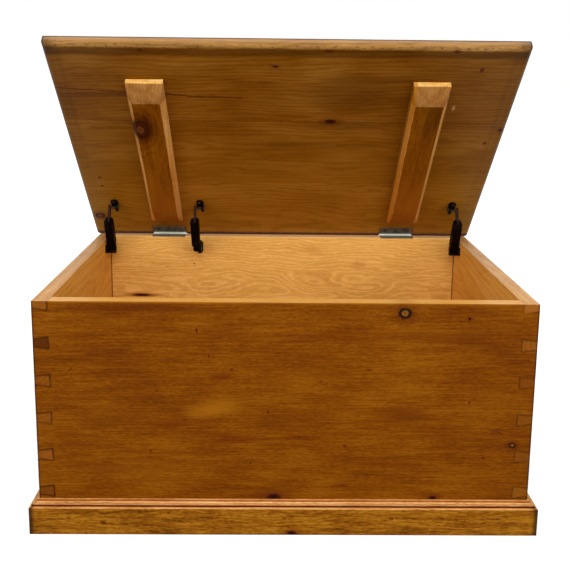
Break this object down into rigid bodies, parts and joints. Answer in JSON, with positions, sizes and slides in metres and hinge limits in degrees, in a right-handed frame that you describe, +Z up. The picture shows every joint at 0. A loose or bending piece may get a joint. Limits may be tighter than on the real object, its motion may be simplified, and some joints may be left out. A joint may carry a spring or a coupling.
{
  "type": "blanket chest",
  "caption": "Dovetailed pine blanket chest on a moulded plinth, with a battened lid on butt hinges held open by folding steel stays.",
  "frame": {"origin": "on the ground under the middle of the chest, lid standing open", "axes": "+X to the right along the length of the chest, +Y to the back, +Z up"},
  "size_m": [0.891, 0.617, 0.8594],
  "materials": {
    "waxed_pine": "old pine, stained and waxed to a soft sheen",
    "bare_pine": "bare sawn pine, dull",
    "hinge_steel": "worn bright steel, a little tarnished",
    "screw_steel": "plain steel screws",
    "nail_iron": "dark cut nails",
    "black_steel": "pressed steel, blackened, half matt",
    "pivot_steel": "dark steel pivots"
  },
  "bodies": {
    "chest": {"front_board": "waxed_pine", "back_board": "waxed_pine", "left_side_board": "waxed_pine", "right_side_board": "waxed_pine", "plinth_front": "waxed_pine", "plinth_right": "waxed_pine", "plinth_back": "waxed_pine", "plinth_left": "waxed_pine", "floor_board_front": "bare_pine", "floor_board_middle": "bare_pine", "floor_board_back": "bare_pine", "floor_nails": "nail_iron", "plinth_nails": "nail_iron", "hinge_left_chest_leaf": "hinge_steel", "hinge_left_pin": "hinge_steel", "hinge_right_chest_leaf": "hinge_steel", "hinge_right_pin": "hinge_steel", "hinge_chest_screws": "screw_steel", "stay_base_screws": "screw_steel", "stay_left_base": "black_steel", "stay_left_base_pin": "pivot_steel", "stay_middle_base": "black_steel", "stay_middle_base_pin": "pivot_steel", "stay_right_base": "black_steel", "stay_right_base_pin": "pivot_steel"},
    "lid": {"lid_board_front": "waxed_pine", "lid_board_middle": "waxed_pine", "lid_board_back": "waxed_pine", "batten_left": "waxed_pine", "batten_right": "waxed_pine", "batten_nails": "nail_iron", "hinge_left_lid_leaf": "hinge_steel", "hinge_right_lid_leaf": "hinge_steel", "hinge_lid_screws": "screw_steel", "stay_foot_screws": "screw_steel", "stay_left_lid_foot": "black_steel", "stay_middle_lid_foot": "black_steel", "stay_right_lid_foot": "black_steel"},
    "stay_left_link": {"stay_left_housing": "black_steel", "stay_left_cover": "black_steel", "stay_left_elbow_pin": "pivot_steel", "stay_left_disc_springs": "pivot_steel"},
    "stay_left_arm_link": {"stay_left_arm": "black_steel", "stay_left_foot_pin": "pivot_steel"},
    "stay_middle_link": {"stay_middle_housing": "black_steel", "stay_middle_cover": "black_steel", "stay_middle_elbow_pin": "pivot_steel", "stay_middle_disc_springs": "pivot_steel"},
    "stay_middle_arm_link": {"stay_middle_arm": "black_steel", "stay_middle_foot_pin": "pivot_steel"},
    "stay_right_link": {"stay_right_housing": "black_steel", "stay_right_cover": "black_steel", "stay_right_elbow_pin": "pivot_steel", "stay_right_disc_springs": "pivot_steel"},
    "stay_right_arm_link": {"stay_right_arm": "black_steel", "stay_right_foot_pin": "pivot_steel"}
  },
  "joints": [
    {"name": "lid_hinge", "type": "hinge", "parent": "chest", "child": "lid", "pos_m": [0, 0.2962, 0.4185], "axis": [-1, 0, 0], "range_deg": [-45, 0]},
    {"name": "stay_left_pivot", "type": "hinge", "parent": "chest", "child": "stay_left_link", "pos_m": [-0.391, 0.226, 0.398], "axis": [-1, 0, 0], "range_deg": [-70.5, 0]},
    {"name": "stay_left_elbow", "type": "hinge", "parent": "stay_left_link", "child": "stay_left_arm_link", "pos_m": [-0.391, 0.19176, 0.46417], "axis": [-1, 0, 0], "range_deg": [0, 108]},
    {"name": "stay_middle_pivot", "type": "hinge", "parent": "chest", "child": "stay_middle_link", "pos_m": [-0.199, 0.226, 0.398], "axis": [-1, 0, 0], "range_deg": [-70.5, 0]},
    {"name": "stay_middle_elbow", "type": "hinge", "parent": "stay_middle_link", "child": "stay_middle_arm_link", "pos_m": [-0.199, 0.19176, 0.46417], "axis": [-1, 0, 0], "range_deg": [0, 108]},
    {"name": "stay_right_pivot", "type": "hinge", "parent": "chest", "child": "stay_right_link", "pos_m": [0.391, 0.226, 0.398], "axis": [-1, 0, 0], "range_deg": [-70.5, 0]},
    {"name": "stay_right_elbow", "type": "hinge", "parent": "stay_right_link", "child": "stay_right_arm_link", "pos_m": [0.391, 0.19176, 0.46417], "axis": [-1, 0, 0], "range_deg": [0, 108]}
  ],
  "couplings": [
    {"joint": "stay_left_pivot", "follows": "lid_hinge", "ratio": 1.5648},
    {"joint": "stay_left_elbow", "follows": "lid_hinge", "ratio": -2.3993},
    {"joint": "stay_middle_pivot", "follows": "lid_hinge", "ratio": 1.5648},
    {"joint": "stay_middle_elbow", "follows": "lid_hinge", "ratio": -2.3993},
    {"joint": "stay_right_pivot", "follows": "lid_hinge", "ratio": 1.5648},
    {"joint": "stay_right_elbow", "follows": "lid_hinge", "ratio": -2.3993}
  ]
}
